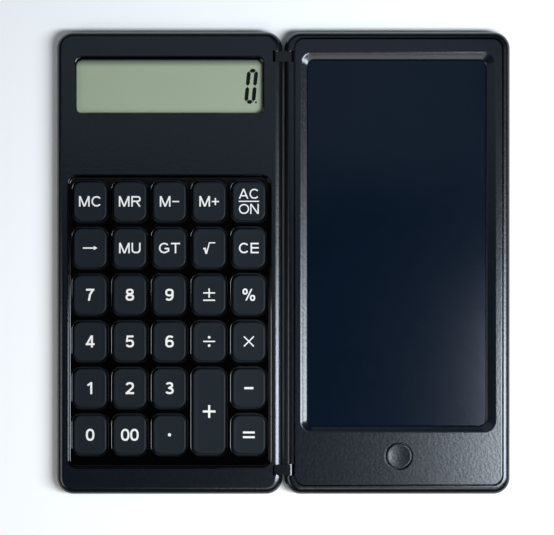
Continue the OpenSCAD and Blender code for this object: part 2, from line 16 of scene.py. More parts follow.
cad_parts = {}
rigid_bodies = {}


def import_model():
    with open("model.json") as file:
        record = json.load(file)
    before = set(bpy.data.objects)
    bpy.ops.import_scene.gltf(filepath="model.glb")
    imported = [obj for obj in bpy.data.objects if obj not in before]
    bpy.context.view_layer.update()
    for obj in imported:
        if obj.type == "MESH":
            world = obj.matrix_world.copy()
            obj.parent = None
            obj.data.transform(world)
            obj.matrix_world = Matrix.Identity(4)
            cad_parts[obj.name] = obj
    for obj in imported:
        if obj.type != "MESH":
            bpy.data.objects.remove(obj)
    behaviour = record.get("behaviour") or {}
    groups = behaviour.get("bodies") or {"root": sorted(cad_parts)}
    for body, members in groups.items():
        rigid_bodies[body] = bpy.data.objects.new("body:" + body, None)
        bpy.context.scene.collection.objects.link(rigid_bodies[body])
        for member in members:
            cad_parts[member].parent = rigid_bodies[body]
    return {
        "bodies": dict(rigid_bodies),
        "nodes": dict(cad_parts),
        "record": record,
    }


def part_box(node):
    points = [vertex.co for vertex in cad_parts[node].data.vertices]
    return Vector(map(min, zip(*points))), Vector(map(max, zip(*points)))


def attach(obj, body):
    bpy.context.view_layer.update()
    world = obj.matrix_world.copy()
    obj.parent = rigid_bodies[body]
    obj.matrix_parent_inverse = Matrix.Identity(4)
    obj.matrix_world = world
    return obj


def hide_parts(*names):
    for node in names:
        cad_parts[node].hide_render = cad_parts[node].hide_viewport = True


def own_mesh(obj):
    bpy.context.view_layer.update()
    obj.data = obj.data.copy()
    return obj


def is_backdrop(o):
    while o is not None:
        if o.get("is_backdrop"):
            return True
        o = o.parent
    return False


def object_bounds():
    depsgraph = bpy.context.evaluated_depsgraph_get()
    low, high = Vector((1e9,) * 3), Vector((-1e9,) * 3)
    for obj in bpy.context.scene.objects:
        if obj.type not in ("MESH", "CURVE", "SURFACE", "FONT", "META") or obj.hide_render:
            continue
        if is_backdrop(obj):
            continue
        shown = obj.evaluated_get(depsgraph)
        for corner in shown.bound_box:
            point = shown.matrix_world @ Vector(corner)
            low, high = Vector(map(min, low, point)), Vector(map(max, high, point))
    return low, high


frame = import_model()
MM = 0.001
CORNER_STEPS = 10
FILLET_STEPS = 6
CURVE_STEPS = 20
SHARP_ANGLE = math.radians(35)
SAME_POINT = 1e-7
SMALLEST_RADIUS = 0.02 * MM


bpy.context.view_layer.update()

# ---- Outlines and shells. A rect is (x0, y0, x1, y1, corner radius) ----


def node_rect(node, radius, shrink=0.0):
    """A CAD node's outline seen from above, as a rect drawn in by shrink."""
    low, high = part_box(node)
    return (low.x + shrink, low.y + shrink, high.x - shrink, high.y - shrink, radius)


def inset(rect, distance):
    """The rect drawn in by a distance, or let out by a negative one."""
    x0, y0, x1, y1, r = rect
    return (x0 + distance, y0 + distance, x1 - distance, y1 - distance, r - distance)


def disc(centre, radius):
    """A circle, as a rect whose corners take up its whole size."""
    return (centre[0] - radius, centre[1] - radius, centre[0] + radius, centre[1] + radius, radius)


def mix_rects(a, b, share):
    """The rect part of the way from a to b."""
    return tuple(p + (q - p) * share for p, q in zip(a, b))


def outline(rect):
    """Points round a rect with round corners, anticlockwise."""
    x0, y0, x1, y1, r = rect
    r = max(r, SMALLEST_RADIUS)
    corners = (
        (x1 - r, y0 + r, -90), (x1 - r, y1 - r, 0), (x0 + r, y1 - r, 90), (x0 + r, y0 + r, 180),
    )
    points = []
    for cx, cy, start in corners:
        for i in range(CORNER_STEPS + 1):
            angle = math.radians(start + 90 * i / CORNER_STEPS)
            points.append((cx + r * math.cos(angle), cy + r * math.sin(angle)))
    return points


def add_ring(bm, points, z):
    return [bm.verts.new((x, y, z)) for x, y in points]


def join_rings(bm, first, second):
    """Faces between two rings with the same number of points."""
    count = len(first)
    for i in range(count):
        j = (i + 1) % count
        bm.faces.new((first[i], first[j], second[j], second[i]))


def loft(bm, rect, profile):
    """Rings round a rect, one for each (inset, z) of the profile, joined in order."""
    rings = [add_ring(bm, outline(inset(rect, d)), z) for d, z in profile]
    for a, b in zip(rings, rings[1:]):
        join_rings(bm, a, b)
    return rings


def fillet(inset_0, z_0, inset_1, z_1, steps=FILLET_STEPS):
    """Quarter-round profile from a wall at (inset_0, z_0) to a flat at (inset_1, z_1)."""
    points = []
    for i in range(steps + 1):
        angle = math.pi / 2 * i / steps
        across = inset_0 + (inset_1 - inset_0) * (1 - math.cos(angle))
        points.append((across, z_0 + (z_1 - z_0) * math.sin(angle)))
    return points


def covers(corners, x, y):
    """Whether a flat closed outline goes round a point."""
    inside = False
    for (x0, y0), (x1, y1) in zip(corners, corners[1:] + corners[:1]):
        if (y0 > y) != (y1 > y) and x < x0 + (y - y0) * (x1 - x0) / (y1 - y0):
            inside = not inside
    return inside


def fill_between(bm, rings):
    """Flat faces between an outer ring and the rings of the holes in it."""
    corners = [vertex for loop in rings for vertex in loop]
    edges, start = [], 0
    for loop in rings:
        edges += [(start + i, start + (i + 1) % len(loop)) for i in range(len(loop))]
        start += len(loop)
    flat = [vertex.co.xy for vertex in corners]
    shapes = [[tuple(vertex.co.xy) for vertex in loop] for loop in rings]
    points, _, triangles, origins, *_ = geometry.delaunay_2d_cdt(flat, edges, [], 0, SAME_POINT)
    for triangle in triangles:
        x, y = sum((points[i] for i in triangle), Vector((0, 0))) / 3
        if sum(covers(shape, x, y) for shape in shapes) == 1:
            bm.faces.new([corners[origins[i][0]] for i in triangle])


def new_piece(name, bm, body, look, replaced=()):
    """Turns a bmesh into a piece that rides on a body and may stand for CAD nodes."""
    bmesh.ops.remove_doubles(bm, verts=bm.verts, dist=SAME_POINT)
    bmesh.ops.recalc_face_normals(bm, faces=bm.faces)
    mesh = bpy.data.meshes.new(name)
    bm.to_mesh(mesh)
    bm.free()
    mesh.shade_smooth()
    mesh.set_sharp_from_angle(angle=SHARP_ANGLE)
    piece = bpy.data.objects.new(name, mesh)
    bpy.context.scene.collection.objects.link(piece)
    mesh.materials.append(look)
    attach(piece, body)
    if replaced:
        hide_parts(*replaced)
    return piece


# ---- Materials ----


class Look:
    """A node material with short calls for the textures that the surfaces share."""

    def __init__(self, name, color, roughness, **inputs):
        self.material = bpy.data.materials.new(name)
        self.material.use_nodes = True
        self.tree = self.material.node_tree
        self.shader = self.tree.nodes["Principled BSDF"]
        self.shader.inputs["Base Color"].default_value = (*color, 1)
        self.shader.inputs["Roughness"].default_value = roughness
        for key, value in inputs.items():
            self.shader.inputs[key.replace("_", " ")].default_value = value
        self.place = self.tree.nodes.new("ShaderNodeTexCoord").outputs["Object"]

    def link(self, output, target):
        self.tree.links.new(output, target)

    def noise(self, size, detail=2.0, stretch=None):
        """Noise with features of about that size, in metres."""
        node = self.tree.nodes.new("ShaderNodeTexNoise")
        node.inputs["Scale"].default_value = 1 / size
        node.inputs["Detail"].default_value = detail
        place = self.place
        if stretch:
            mapping = self.tree.nodes.new("ShaderNodeMapping")
            mapping.inputs["Scale"].default_value = stretch
            self.link(place, mapping.inputs["Vector"])
            place = mapping.outputs["Vector"]
        self.link(place, node.inputs["Vector"])
        return node.outputs["Fac"]

    def range(self, value, low, high, from_low=0.3, from_high=0.7):
        """The value spread over low to high. Noise keeps mostly to 0.3 to 0.7."""
        node = self.tree.nodes.new("ShaderNodeMapRange")
        node.inputs["From Min"].default_value = from_low
        node.inputs["From Max"].default_value = from_high
        node.inputs["To Min"].default_value = low
        node.inputs["To Max"].default_value = high
        self.link(value, node.inputs["Value"])
        return node.outputs["Result"]

    def grain(self, size, height):
        """Moulded texture: bumps of that size and height, in metres."""
        node = self.tree.nodes.new("ShaderNodeBump")
        node.inputs["Distance"].default_value = height
        self.link(self.noise(size), node.inputs["Height"])
        self.link(node.outputs["Normal"], self.shader.inputs["Normal"])
        return self

    def uneven_gloss(self, size, low, high):
        """Roughness that drifts between two values."""
        self.link(self.range(self.noise(size, 4.0), low, high), self.shader.inputs["Roughness"])
        return self

    def mottle(self, size, color_a, color_b):
        """Colour that drifts between two values."""
        node = self.tree.nodes.new("ShaderNodeMix")
        node.data_type = "RGBA"
        node.inputs["A"].default_value = (*color_a, 1)
        node.inputs["B"].default_value = (*color_b, 1)
        self.link(self.range(self.noise(size, 3.0), 0, 1), node.inputs["Factor"])
        self.link(node.outputs["Result"], self.shader.inputs["Base Color"])
        return self


def brighter(color, times):
    return tuple(c * times for c in color)


def casing_look(name, color, roughness, grain_height):
    """Spark-eroded matte plastic."""
    drift = 0.012
    look = Look(name, color, roughness)
    look.grain(1.0 * MM, grain_height)
    look.uneven_gloss(1.2 * MM, roughness - drift, roughness + drift)
    look.mottle(0.6 * MM, color, brighter(color, 1.25))
    return look.material


def key_look():
    """Fine matte paint on the keycaps, a little polished in patches by fingers."""
    look = Look("key_paint", (0.0075, 0.0108, 0.0135), 0.4, Specular_IOR_Level=0.12)
    look.grain(0.12 * MM, 0.004 * MM)
    look.uneven_gloss(3 * MM, 0.4, 0.44)
    look.mottle(0.6 * MM, (0.007, 0.0102, 0.013), (0.008, 0.0115, 0.0145))
    return look.material


def gloss_look():
    """Polished black moulding with faint unevenness."""
    look = Look("gloss_black", (0.0002, 0.0002, 0.0002), 0.1)
    look.uneven_gloss(1.5 * MM, 0.06, 0.09)
    look.grain(2.5 * MM, 0.003 * MM)
    return look.material


def ink_look():
    """Off-white ink of the legends."""
    look = Look("legend_ink", (0.77, 0.72, 0.66), 0.45)
    look.mottle(0.3 * MM, (0.75, 0.71, 0.65), (0.79, 0.74, 0.68))
    look.grain(0.1 * MM, 0.002 * MM)
    return look.material


def film_look():
    """Dark cholesteric writing film under a smooth coating."""
    look = Look("writing_film", (0.0015, 0.0048, 0.0115), 0.13, Specular_IOR_Level=0.22)
    look.mottle(22 * MM, (0.0013, 0.0045, 0.011), (0.0017, 0.0051, 0.012))
    look.uneven_gloss(6 * MM, 0.135, 0.145)
    look.grain(4 * MM, 0.002 * MM)
    return look.material


# Band below the display frame's top edge where a shadow is painted into the display's colour.
SHADE_MARGIN = 1.1 * MM
SHADE_WIDTH = 2.6 * MM
DEEPEST_SHADE = 0.12


def lcd_look():
    """Grey-green reflective display, with a shadow painted into its colour along the top, where the
    frame's upper wall stands over it.
    """
    look = Look("lcd_panel", (0.36, 0.44, 0.33), 0.4, Specular_IOR_Level=0.1)
    split = look.tree.nodes.new("ShaderNodeSeparateXYZ")
    look.link(look.place, split.inputs["Vector"])
    # Painted shadow: the colour fades to a dark shadow colour over a band that ends just below the
    # frame's top edge.
    shade_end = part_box("display_frame")[1].y - SHADE_MARGIN
    shade = look.range(
        split.outputs["Y"], 1.0, DEEPEST_SHADE, shade_end - SHADE_WIDTH, shade_end)
    color = look.tree.nodes.new("ShaderNodeMix")
    color.data_type = "RGBA"
    # Dark colour of the painted shadow.
    color.inputs["A"].default_value = (0.02, 0.026, 0.02, 1)
    tone = look.tree.nodes.new("ShaderNodeMix")
    tone.data_type = "RGBA"
    tone.inputs["A"].default_value = (0.41, 0.455, 0.315, 1)
    tone.inputs["B"].default_value = (0.43, 0.475, 0.335, 1)
    look.link(look.noise(9 * MM), tone.inputs["Factor"])
    look.link(tone.outputs["Result"], color.inputs["B"])
    look.link(shade, color.inputs["Factor"])
    look.link(color.outputs["Result"], look.shader.inputs["Base Color"])
    return look.material


def clear_look():
    """Clear window, nearly invisible but for its gloss."""
    look = Look("clear_window", (0.01, 0.011, 0.01), 0.06, Alpha=0.08, Specular_IOR_Level=0.3)
    look.uneven_gloss(8 * MM, 0.05, 0.08)
    return look.material


def metal_look(name, color, roughness, lines):
    """Metal with fine drawn lines along X."""
    look = Look(name, color, roughness, Metallic=1.0)
    streaks = look.noise(lines, 4.0, stretch=(0.08, 1, 1))
    gloss = look.range(streaks, roughness - 0.08, roughness + 0.1)
    look.link(gloss, look.shader.inputs["Roughness"])
    return look.material


def rubber_look(name, color):
    """Dull rubber, also used for film and resin."""
    look = Look(name, color, 0.8)
    look.grain(0.2 * MM, 0.01 * MM)
    look.mottle(1.5 * MM, color, brighter(color, 1.3))
    return look.material


def board_look():
    """Green solder mask over copper tracks."""
    look = Look("solder_mask", (0.02, 0.13, 0.05), 0.35)
    look.mottle(1.2 * MM, (0.015, 0.1, 0.04), (0.03, 0.18, 0.07))
    return look.material


LOOKS = {
    "casing": casing_look("casing", (0.0021, 0.0038, 0.0058), 0.22, 0.026 * MM),
    "casing_back": casing_look("casing_back", (0.007, 0.0095, 0.0125), 0.5, 0.012 * MM),
    "gloss_black": gloss_look(),
    "clear_window": clear_look(),
    # Both display layers get the painted shadow along the top.
    "lcd_glass": lcd_look(),
    "lcd_reflector": lcd_look(),
    "ribbon": rubber_look("ribbon_film", (0.45, 0.2, 0.04)),
    "circuit_board": board_look(),
    "chip_resin": rubber_look("chip_resin", (0.015, 0.015, 0.015)),
    "silicone": rubber_look("silicone", (0.45, 0.46, 0.45)),
    "steel": metal_look("steel", (0.5, 0.5, 0.52), 0.35, 0.15 * MM),
    "contact_brass": metal_look("spring_brass", (0.75, 0.6, 0.3), 0.3, 0.2 * MM),
    "foot_rubber": rubber_look("foot_rubber", (0.02, 0.021, 0.022)),
    "link_plastic": casing_look("link_plastic", (0.0015, 0.0022, 0.003), 0.2, 0.003 * MM),
    "writing_film": film_look(),
    "key_plastic": key_look(),
    "switch_plastic": casing_look("switch_plastic", (0.05, 0.054, 0.06), 0.45, 0.004 * MM),
}
INK = ink_look()
PANEL = casing_look("panel_plastic", (0.0021, 0.0038, 0.0062), 0.21, 0.024 * MM)


def dress_cad_nodes():
    """Gives every CAD node the material of its slot in the record."""
    for part in frame["record"]["subparts"]:
        mesh = frame["nodes"][part["node"]].data
        mesh.materials.clear()
        mesh.materials.append(LOOKS[part["material_slot"]])


# ---- Lettering: strokes as flat polygons in units of the letters' height ----

SQUARISH = 2.35
ROUNDER = 2.1


def line(x0, y0, x1, y1, weight):
    """Straight stroke with square ends."""
    length = math.hypot(x1 - x0, y1 - y0)
    nx = -(y1 - y0) / length * weight / 2
    ny = (x1 - x0) / length * weight / 2
    return [(x0 + nx, y0 + ny), (x0 - nx, y0 - ny), (x1 - nx, y1 - ny), (x1 + nx, y1 + ny)]


def slant(x0, y0, x1, y1, weight):
    """Straight stroke with level ends."""
    half = weight / 2 * math.hypot(x1 - x0, y1 - y0) / abs(y1 - y0)
    return [(x0 - half, y0), (x0 + half, y0), (x1 + half, y1), (x1 - half, y1)]


def bow(cx, cy, rx, ry, start, end, weight, power=SQUARISH):
    """Curved stroke along a slightly squared ellipse, from one angle to another."""

    def along(grow, angle):
        c, s = math.cos(angle), math.sin(angle)
        x = (rx + grow) * math.copysign(abs(c) ** (2 / power), c)
        y = (ry + grow) * math.copysign(abs(s) ** (2 / power), s)
        return (cx + x, cy + y)

    steps = range(CURVE_STEPS + 1)
    angles = [math.radians(start + (end - start) * i / CURVE_STEPS) for i in steps]
    outer = [along(weight / 2, a) for a in angles]
    return outer + [along(-weight / 2, a) for a in reversed(angles)]


def ring(cx, cy, rx, ry, weight, power=SQUARISH):
    """Closed curved stroke, as two halves."""
    return [bow(cx, cy, rx, ry, a, a + 180, weight, power) for a in (0, 180)]


def dot(cx, cy, radius):
    """Filled disc."""
    angles = [2 * math.pi / CURVE_STEPS * i for i in range(CURVE_STEPS)]
    return [(cx + radius * math.cos(angle), cy + radius * math.sin(angle)) for angle in angles]


def six(w):
    """Strokes of a 6, which a 9 shows upside down."""
    h = w / 2
    bowl = ring(0.36, 0.32, 0.35 - h, 0.32 - h, w)
    return bowl + [bow(0.4, 0.5, 0.39 - h, 0.5 - h, 48, 205, w)]


def upside_down(strokes, width):
    """The same strokes upside down."""
    return [[(width - x, 1 - y) for x, y in stroke] for stroke in strokes]


def glyph(char, w):
    """(width, strokes) of one character drawn with strokes of weight w."""
    h = w / 2
    shapes = {
        "0": (0.71, lambda: ring(0.355, 0.5, 0.355 - h, 0.5 - h, w)),
        "1": (0.5, lambda: [line(0.34, 0, 0.34, 1, w), line(0.03, 0.72, 0.36, 0.95, w * 0.9)]),
        "2": (0.7, lambda: [
            bow(0.345, 0.69, 0.345 - h, 0.31 - h, 168, -32, w),
            line(0.6, 0.56, 0.1, 0.1, w), line(0, h, 0.7, h, w)]),
        "3": (0.7, lambda: [
            bow(0.34, 0.74, 0.31 - h, 0.26 - h, 160, -90, w),
            line(0.24, 0.51, 0.36, 0.51, w * 0.9),
            bow(0.35, 0.28, 0.35 - h, 0.28 - h, 90, -160, w)]),
        "4": (0.74, lambda: [
            line(0.52, 0, 0.52, 1, w), line(0, 0.27, 0.74, 0.27, w),
            slant(0.1, 0.27, 0.5, 1, w * 0.9)]),
        "5": (0.7, lambda: [
            line(0.14, 1 - h, 0.66, 1 - h, w), slant(0.09, 0.44, 0.17, 1, w * 0.85),
            bow(0.35, 0.33, 0.35 - h, 0.33 - h, 128, -160, w)]),
        "6": (0.71, lambda: six(w)),
        "7": (0.69, lambda: [
            line(0, 1 - h, 0.69, 1 - h, w), slant(0.33, 0.5, 0.6, 0.95, w),
            slant(0.24, 0, 0.33, 0.5, w)]),
        "8": (0.71, lambda: (
            ring(0.355, 0.745, 0.315 - h, 0.255 - h, w)
            + ring(0.355, 0.28, 0.355 - h, 0.28 - h, w))),
        "9": (0.71, lambda: upside_down(six(w), 0.71)),
        "A": (0.96, lambda: [
            slant(h, 0, 0.48, 1, w), slant(0.96 - h, 0, 0.48, 1, w),
            line(0.2, 0.3, 0.76, 0.3, w)]),
        "C": (0.94, lambda: [bow(0.49, 0.5, 0.49 - h, 0.5 - h, 40, 320, w, ROUNDER)]),
        "E": (0.78, lambda: [
            line(h, 0, h, 1, w), line(0, h, 0.78, h, w), line(0, 0.52, 0.78, 0.52, w),
            line(0, 1 - h, 0.78, 1 - h, w)]),
        "G": (0.98, lambda: [
            bow(0.5, 0.5, 0.5 - h, 0.5 - h, 40, 318, w, ROUNDER),
            line(0.54, 0.45, 0.98, 0.45, w), line(0.98 - h, 0.14, 0.98 - h, 0.45, w)]),
        "M": (1.02, lambda: [
            line(h, 0, h, 1, w), line(1.02 - h, 0, 1.02 - h, 1, w),
            slant(0.51, 0, h * 1.2, 1, w), slant(0.51, 0, 1.02 - h * 1.2, 1, w)]),
        "N": (0.86, lambda: [
            line(h, 0, h, 1, w), line(0.86 - h, 0, 0.86 - h, 1, w),
            slant(0.86 - h * 1.2, 0, h * 1.2, 1, w)]),
        "O": (1.02, lambda: ring(0.51, 0.5, 0.51 - h, 0.5 - h, w, ROUNDER)),
        "R": (0.9, lambda: [
            line(h, 0, h, 1, w), line(0, 1 - h, 0.56, 1 - h, w), line(0, 0.5, 0.56, 0.5, w),
            bow(0.56, 0.75 - h / 2, 0.26, 0.25 - h / 2, -90, 90, w),
            slant(0.81, 0, 0.5, 0.48, w)]),
        "T": (0.86, lambda: [line(0, 1 - h, 0.86, 1 - h, w), line(0.43, 0, 0.43, 1, w)]),
        "U": (0.86, lambda: [
            line(h, 0.36, h, 1, w), line(0.86 - h, 0.36, 0.86 - h, 1, w),
            bow(0.43, 0.36, 0.43 - h, 0.36 - h, 180, 360, w)]),
        "-": (0.66, lambda: [line(0, 0.48, 0.66, 0.48, w * 0.8)]),
        "+": (0.68, lambda: [
            line(0, 0.48, 0.68, 0.48, w * 0.9), line(0.34, 0.14, 0.34, 0.82, w * 0.9)]),
    }
    width, draw = shapes[char]
    return width, draw()


def text(string, height, weight, gap=0.17, lift=0.0):
    """Strokes of a word centred on the origin, in metres; lift raises it."""
    x, strokes = 0.0, []
    for char in string:
        width, drawn = glyph(char, weight)
        strokes += [[(x + px, py) for px, py in stroke] for stroke in drawn]
        x += width + gap
    middle = (x - gap) / 2
    return [
        [((px - middle) * height, (py - 0.5) * height + lift) for px, py in stroke]
        for stroke in strokes
    ]


def scaled(strokes):
    """Strokes given in millimetres, in metres."""
    return [[(x * MM, y * MM) for x, y in stroke] for stroke in strokes]


LETTER_H = 3.8 * MM
LETTER_W = 0.142
DIGIT_H = 4.35 * MM
DIGIT_W = 0.165


def ac_on():
    """The two stacked words with a line between them."""
    small, weight, gap, lift = 3.6 * MM, 0.125, 0.12, 2.75 * MM
    upper = text("AC", small, weight, gap, lift)
    lower = text("ON", small, weight, gap, -lift)
    return upper + lower + scaled([line(-3.7, 0, 3.7, 0, 0.4)])


def percent():
    """Two rings and a slanting stroke."""
    rings = ring(-1.35, 1.15, 0.68, 0.82, 0.58) + ring(1.35, -1.15, 0.68, 0.82, 0.58)
    return scaled(rings + [slant(-1.0, -2.1, 1.0, 2.1, 0.5)])


WORDS = {
    "key_mc": "MC", "key_mr": "MR", "key_m_minus": "M-", "key_m_plus": "M+",
    "key_mu": "MU", "key_gt": "GT", "key_ce": "CE",
}
LEGENDS = {
    "key_ac_on": ac_on(),
    "key_backspace": scaled([
        line(-2.65, 0, 1.6, 0, 0.5), [(1.3, 0.75), (1.3, -0.75), (2.65, 0)]]),
    "key_root": scaled([
        line(-2.2, -0.35, -1.55, 0.05, 0.35), slant(-1.0, -2.1, -1.6, 0.1, 0.7),
        slant(-1.0, -2.1, 0.15, 2.1, 0.4), line(0.05, 1.9, 2.2, 1.9, 0.42)]),
    "key_sign": scaled([
        line(-2.15, 0.65, 2.15, 0.65, 0.5), line(0, -1.1, 0, 2.3, 0.5),
        line(-2.15, -2.0, 2.15, -2.0, 0.5)]),
    "key_percent": percent(),
    "key_divide": scaled([line(-2.15, 0, 2.15, 0, 0.48), dot(0, 1.5, 0.5), dot(0, -1.5, 0.5)]),
    "key_multiply": scaled([
        line(-1.8, -1.8, 1.8, 1.8, 0.45), line(-1.8, 1.8, 1.8, -1.8, 0.45)]),
    "key_plus": scaled([line(-2.3, 0, 2.3, 0, 0.78), line(0, -2.3, 0, 2.3, 0.78)]),
    "key_minus": scaled([line(-1.65, 0, 1.65, 0, 0.78)]),
    "key_point": scaled([dot(0, 0, 0.6)]),
    "key_equals": scaled([line(-2.15, y, 2.15, y, 0.72) for y in (-0.85, 0.85)]),
    "key_00": text("00", DIGIT_H, DIGIT_W, gap=0.06),
}
LEGENDS.update({key: text(word, LETTER_H, LETTER_W) for key, word in WORDS.items()})
LEGENDS.update({f"key_{digit}": text(str(digit), DIGIT_H, DIGIT_W) for digit in range(10)})
INK_THICKNESS = 0.03 * MM
SAME_INK_POINT = 10 * SAME_POINT


def flat_solid(bm, strokes, centre, z, thickness):
    """Adds one solid from overlapping flat strokes, standing on level z."""
    points, faces = [], []
    for stroke in strokes:
        faces.append(list(range(len(points), len(points) + len(stroke))))
        points += [Vector(p) / MM for p in stroke]
    close = SAME_INK_POINT / MM
    corners, _, triangles, *_ = geometry.delaunay_2d_cdt(points, [], faces, 0, close)
    verts = [bm.verts.new((centre[0] + v.x * MM, centre[1] + v.y * MM, z)) for v in corners]
    flat = []
    for triangle in triangles:
        x, y = sum((corners[i] for i in triangle), Vector((0, 0))) / len(triangle) * MM
        if any(covers(stroke, x, y) for stroke in strokes):
            flat.append(bm.faces.new([verts[i] for i in triangle]))
    bmesh.ops.delete(bm, geom=[v for v in verts if not v.link_faces], context="VERTS")
    left = [v for v in verts if v.is_valid]
    bmesh.ops.remove_doubles(bm, verts=left, dist=SAME_INK_POINT)
    grown = bmesh.ops.extrude_face_region(bm, geom=[face for face in flat if face.is_valid])
    moved = [g for g in grown["geom"] if isinstance(g, bmesh.types.BMVert)]
    bmesh.ops.translate(bm, verts=moved, vec=(0, 0, thickness))


# ---- Keys ----

KEY_FLANGE = 0.7 * MM
KEY_FLANGE_T = 0.45 * MM
KEY_RADIUS = 3.2 * MM
KEY_EDGE = 0.55 * MM
KEY_STEP = 0.35 * MM
KEY_WALL = 1.1 * MM
KEY_CEILING = 1.0 * MM
PLUNGER_R = 2.0 * MM
KEY_HOLE_GAP = 0.25 * MM
DISH = 0.05 * MM
DISH_WIDTH = 1.2 * MM
DISH_SHARES = (0.25, 0.5, 0.75, 1.0)


def dome_centres(node):
    """Middles of the rubber domes under a key: one for each row that the key covers."""
    low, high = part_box(node)
    middle = (low + high) / 2
    single_low, single_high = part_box("key_5")
    spread = ((high.y - low.y) - (single_high.y - single_low.y)) / 2
    if spread < MM:
        return [(middle.x, middle.y)]
    return [(middle.x, middle.y - spread), (middle.x, middle.y + spread)]


def keycap(node):
    """Hollow keycap with a flange, a plunger and a barely sunk top, and its printed legend."""
    low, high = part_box(node)
    flange = node_rect(node, KEY_RADIUS + KEY_FLANGE)
    top = high.z
    side = KEY_FLANGE + KEY_STEP
    profile = [(0, low.z), (0, low.z + KEY_FLANGE_T), (side, low.z + KEY_FLANGE_T)]
    profile += fillet(side, top - KEY_EDGE, side + KEY_EDGE, top)
    for share in DISH_SHARES:
        sag = DISH * (1 - math.cos(math.pi * share)) / 2
        profile.append((side + KEY_EDGE + DISH_WIDTH * share, top - sag))
    bm = bmesh.new()
    rings = loft(bm, flange, profile)
    bm.faces.new(rings[-1])
    heights = [(0, low.z), (0, top - KEY_CEILING)]
    pocket = loft(bm, inset(flange, KEY_FLANGE + KEY_WALL), heights)
    middle = (low + high) / 2
    plungers = [loft(bm, disc(centre, PLUNGER_R), heights) for centre in dome_centres(node)]
    for plunger in plungers:
        bm.faces.new(plunger[0])
    fill_between(bm, [rings[0], pocket[0]])
    fill_between(bm, [pocket[1], *(plunger[1] for plunger in plungers)])
    name = node.replace("key_", "keycap_")
    new_piece(name, bm, node, LOOKS["key_plastic"], [node])
    ink = bmesh.new()
    flat_solid(ink, LEGENDS[node], middle, top - DISH - INK_THICKNESS / 3, INK_THICKNESS)
    new_piece(node.replace("key_", "legend_"), ink, node, INK)


# ---- Rubber domes. Their profiles are (radius, height) points in mm ----

MEMBRANE_RADIUS = 0.5 * MM
DOME_HOLE_R = 3.0 * MM
DOME_OUTSIDE = [(3.41, 0), (2.3, 0.6), (1.5, 0.6), (1.5, 0.8)]
DOME_INSIDE = [(2.29, 0), (1.8, 0.35), (1.1, 0.35), (1.1, 0)]
DOME_HEIGHT = 0.8 * MM
BUTTON_DOME_OUTSIDE = [(4, 0), (4, 0.3), (3.6, 0.3), (2.4, 1.2), (2, 1.4)]
BUTTON_DOME_INSIDE = [(3.2, 0), (1.8, 0.8)]


def hollow_turned(bm, centre, z, outside, inside):
    """Hollow turned solid from the profiles up its outside and up its inside."""
    walls = []
    for profile in (outside, inside):
        rings = [add_ring(bm, outline(disc(centre, r * MM)), z + h * MM) for r, h in profile]
        for a, b in zip(rings, rings[1:]):
            join_rings(bm, a, b)
        bm.faces.new(rings[-1])
        walls.append(rings)
    join_rings(bm, walls[0][0], walls[1][0])


def key_membrane(key_nodes):
    """Silicone sheet, and a dome under each key."""
    low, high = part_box("key_membrane")
    base = high.z - DOME_HEIGHT
    look = LOOKS["silicone"]
    bm = bmesh.new()
    sheet = loft(bm, node_rect("key_membrane", MEMBRANE_RADIUS), [(0, low.z), (0, base)])
    holes = []
    for node in key_nodes:
        for number, centre in enumerate(dome_centres(node)):
            holes.append(loft(bm, disc(centre, DOME_HOLE_R), [(0, low.z), (0, base)]))
            rubber = bmesh.new()
            hollow_turned(rubber, centre, base, DOME_OUTSIDE, DOME_INSIDE)
            name = node.replace("key_", "dome_") + ("_b" if number else "")
            dome = new_piece(name, rubber, "calculator", look)
            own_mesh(dome)
    for side in (0, 1):
        fill_between(bm, [sheet[side], *(hole[side] for hole in holes)])
    new_piece("membrane_sheet", bm, "calculator", look, ["key_membrane"])


def button_dome():
    """Rubber dome under the erase button."""
    low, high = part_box("erase_dome")
    centre = tuple((low + high) / 2)[:2]
    bm = bmesh.new()
    hollow_turned(bm, centre, low.z, BUTTON_DOME_OUTSIDE, BUTTON_DOME_INSIDE)
    dome = new_piece("dome_erase", bm, "tablet", LOOKS["silicone"], ["erase_dome"])
    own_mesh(dome)


# ---- Keypad tray. Its rim's crest is (inset, drop) points in mm ----

TRAY_PLATE = 4.95 * MM
TRAY_TOP = 5.4 * MM
TRAY_RADIUS = 3.4 * MM
RIM_TOP = 6.2 * MM
TRAY_MARGIN_X = 0.4 * MM
TRAY_MARGIN_Y = 1.3 * MM
TRAY_BOTTOM_LIFT = 1.3 * MM
TRAY_FLANGE = 0.3 * MM
RIM_CREST = [(0, 0.1), (0.03, 0.03), (0.1, 0), (0.2, 0), (0.3, 0.04), (0.38, 0.12)]
RIM_WIDTH = 1.05 * MM
FOOT_START = 0.75 * MM
FOOT_RISE = 0.28 * MM
FOOT_STEPS = 5
FOOT_FLAT = 0.08 * MM
CELL_EDGE = 0.18 * MM
CELL_FLAT = 0.05 * MM


